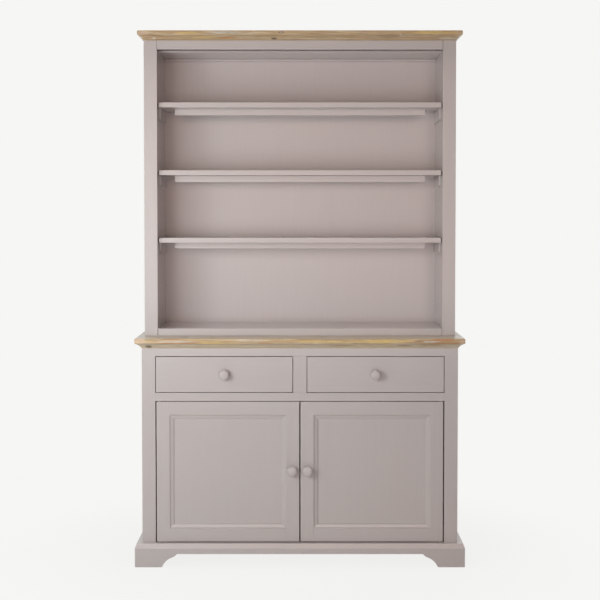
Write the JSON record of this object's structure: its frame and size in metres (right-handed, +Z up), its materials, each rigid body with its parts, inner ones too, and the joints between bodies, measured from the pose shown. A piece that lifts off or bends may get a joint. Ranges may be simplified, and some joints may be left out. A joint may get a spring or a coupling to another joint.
{
  "type": "welsh dresser",
  "caption": "Painted dresser with a limed pine worktop and cornice: an open hutch with shelves over a base with drawers and panelled cupboard doors on bracket feet.",
  "frame": {"origin": "on the floor, under the middle of the dresser's bounding box", "axes": "+Z up, +Y towards the back, +X to the right of someone facing the front; the doors and drawers face -Y"},
  "size_m": [1.2, 0.405, 1.9557],
  "materials": {
    "painted_wood": "warm grey paint on pine, satin, with faint brush marks",
    "limed_pine": "limed pine with a dull wax finish, grain and knots showing",
    "bare_pine": "planed bare pine",
    "pivot_steel": "plain turned steel"
  },
  "bodies": {
    "carcass": {"base_side_left": "painted_wood", "base_side_right": "painted_wood", "base_back": "painted_wood", "base_floor": "painted_wood", "base_stile_left": "painted_wood", "base_stile_right": "painted_wood", "base_top_rail": "painted_wood", "base_mid_rail": "painted_wood", "drawer_divider": "painted_wood", "plinth_front": "painted_wood", "plinth_left": "painted_wood", "plinth_right": "painted_wood", "drawer_runner_left": "bare_pine", "drawer_runner_right": "bare_pine", "cupboard_shelf": "painted_wood", "worktop": "limed_pine", "hutch_side_left": "painted_wood", "hutch_side_right": "painted_wood", "hutch_upright_left": "painted_wood", "hutch_upright_right": "painted_wood", "hutch_top_rail": "painted_wood", "hutch_bottom_rail": "painted_wood", "hutch_floor": "painted_wood", "hutch_ceiling": "painted_wood", "hutch_back": "painted_wood", "cornice": "limed_pine", "hutch_shelf_1": "painted_wood", "hutch_shelf_2": "painted_wood", "hutch_shelf_3": "painted_wood", "hutch_batten_1": "painted_wood", "hutch_batten_2": "painted_wood", "hutch_batten_3": "painted_wood"},
    "door_left": {"door_hinge_stile_left": "painted_wood", "door_meeting_stile_left": "painted_wood", "door_top_rail_left": "painted_wood", "door_bottom_rail_left": "painted_wood", "door_panel_left": "painted_wood", "door_knob_left": "painted_wood", "door_top_pivot_left": "pivot_steel", "door_bottom_pivot_left": "pivot_steel"},
    "door_right": {"door_hinge_stile_right": "painted_wood", "door_meeting_stile_right": "painted_wood", "door_top_rail_right": "painted_wood", "door_bottom_rail_right": "painted_wood", "door_panel_right": "painted_wood", "door_knob_right": "painted_wood", "door_top_pivot_right": "pivot_steel", "door_bottom_pivot_right": "pivot_steel"},
    "drawer_left": {"drawer_front_left": "painted_wood", "drawer_outer_side_left": "bare_pine", "drawer_inner_side_left": "bare_pine", "drawer_back_left": "bare_pine", "drawer_bottom_left": "bare_pine", "drawer_knob_left": "painted_wood"},
    "drawer_right": {"drawer_front_right": "painted_wood", "drawer_outer_side_right": "bare_pine", "drawer_inner_side_right": "bare_pine", "drawer_back_right": "bare_pine", "drawer_bottom_right": "bare_pine", "drawer_knob_right": "painted_wood"}
  },
  "joints": [
    {"name": "door_left_swing", "type": "hinge", "parent": "carcass", "child": "door_left", "pos_m": [-0.5127, -0.1635, 0.345], "axis": [0, 0, -1], "range_deg": [0, 100]},
    {"name": "door_right_swing", "type": "hinge", "parent": "carcass", "child": "door_right", "pos_m": [0.5127, -0.1635, 0.345], "axis": [0, 0, 1], "range_deg": [0, 100]},
    {"name": "drawer_left_slide", "type": "slide", "parent": "carcass", "child": "drawer_left", "axis": [0, -1, 0], "range_m": [0, 0.26]},
    {"name": "drawer_right_slide", "type": "slide", "parent": "carcass", "child": "drawer_right", "axis": [0, -1, 0], "range_m": [0, 0.26]}
  ]
}
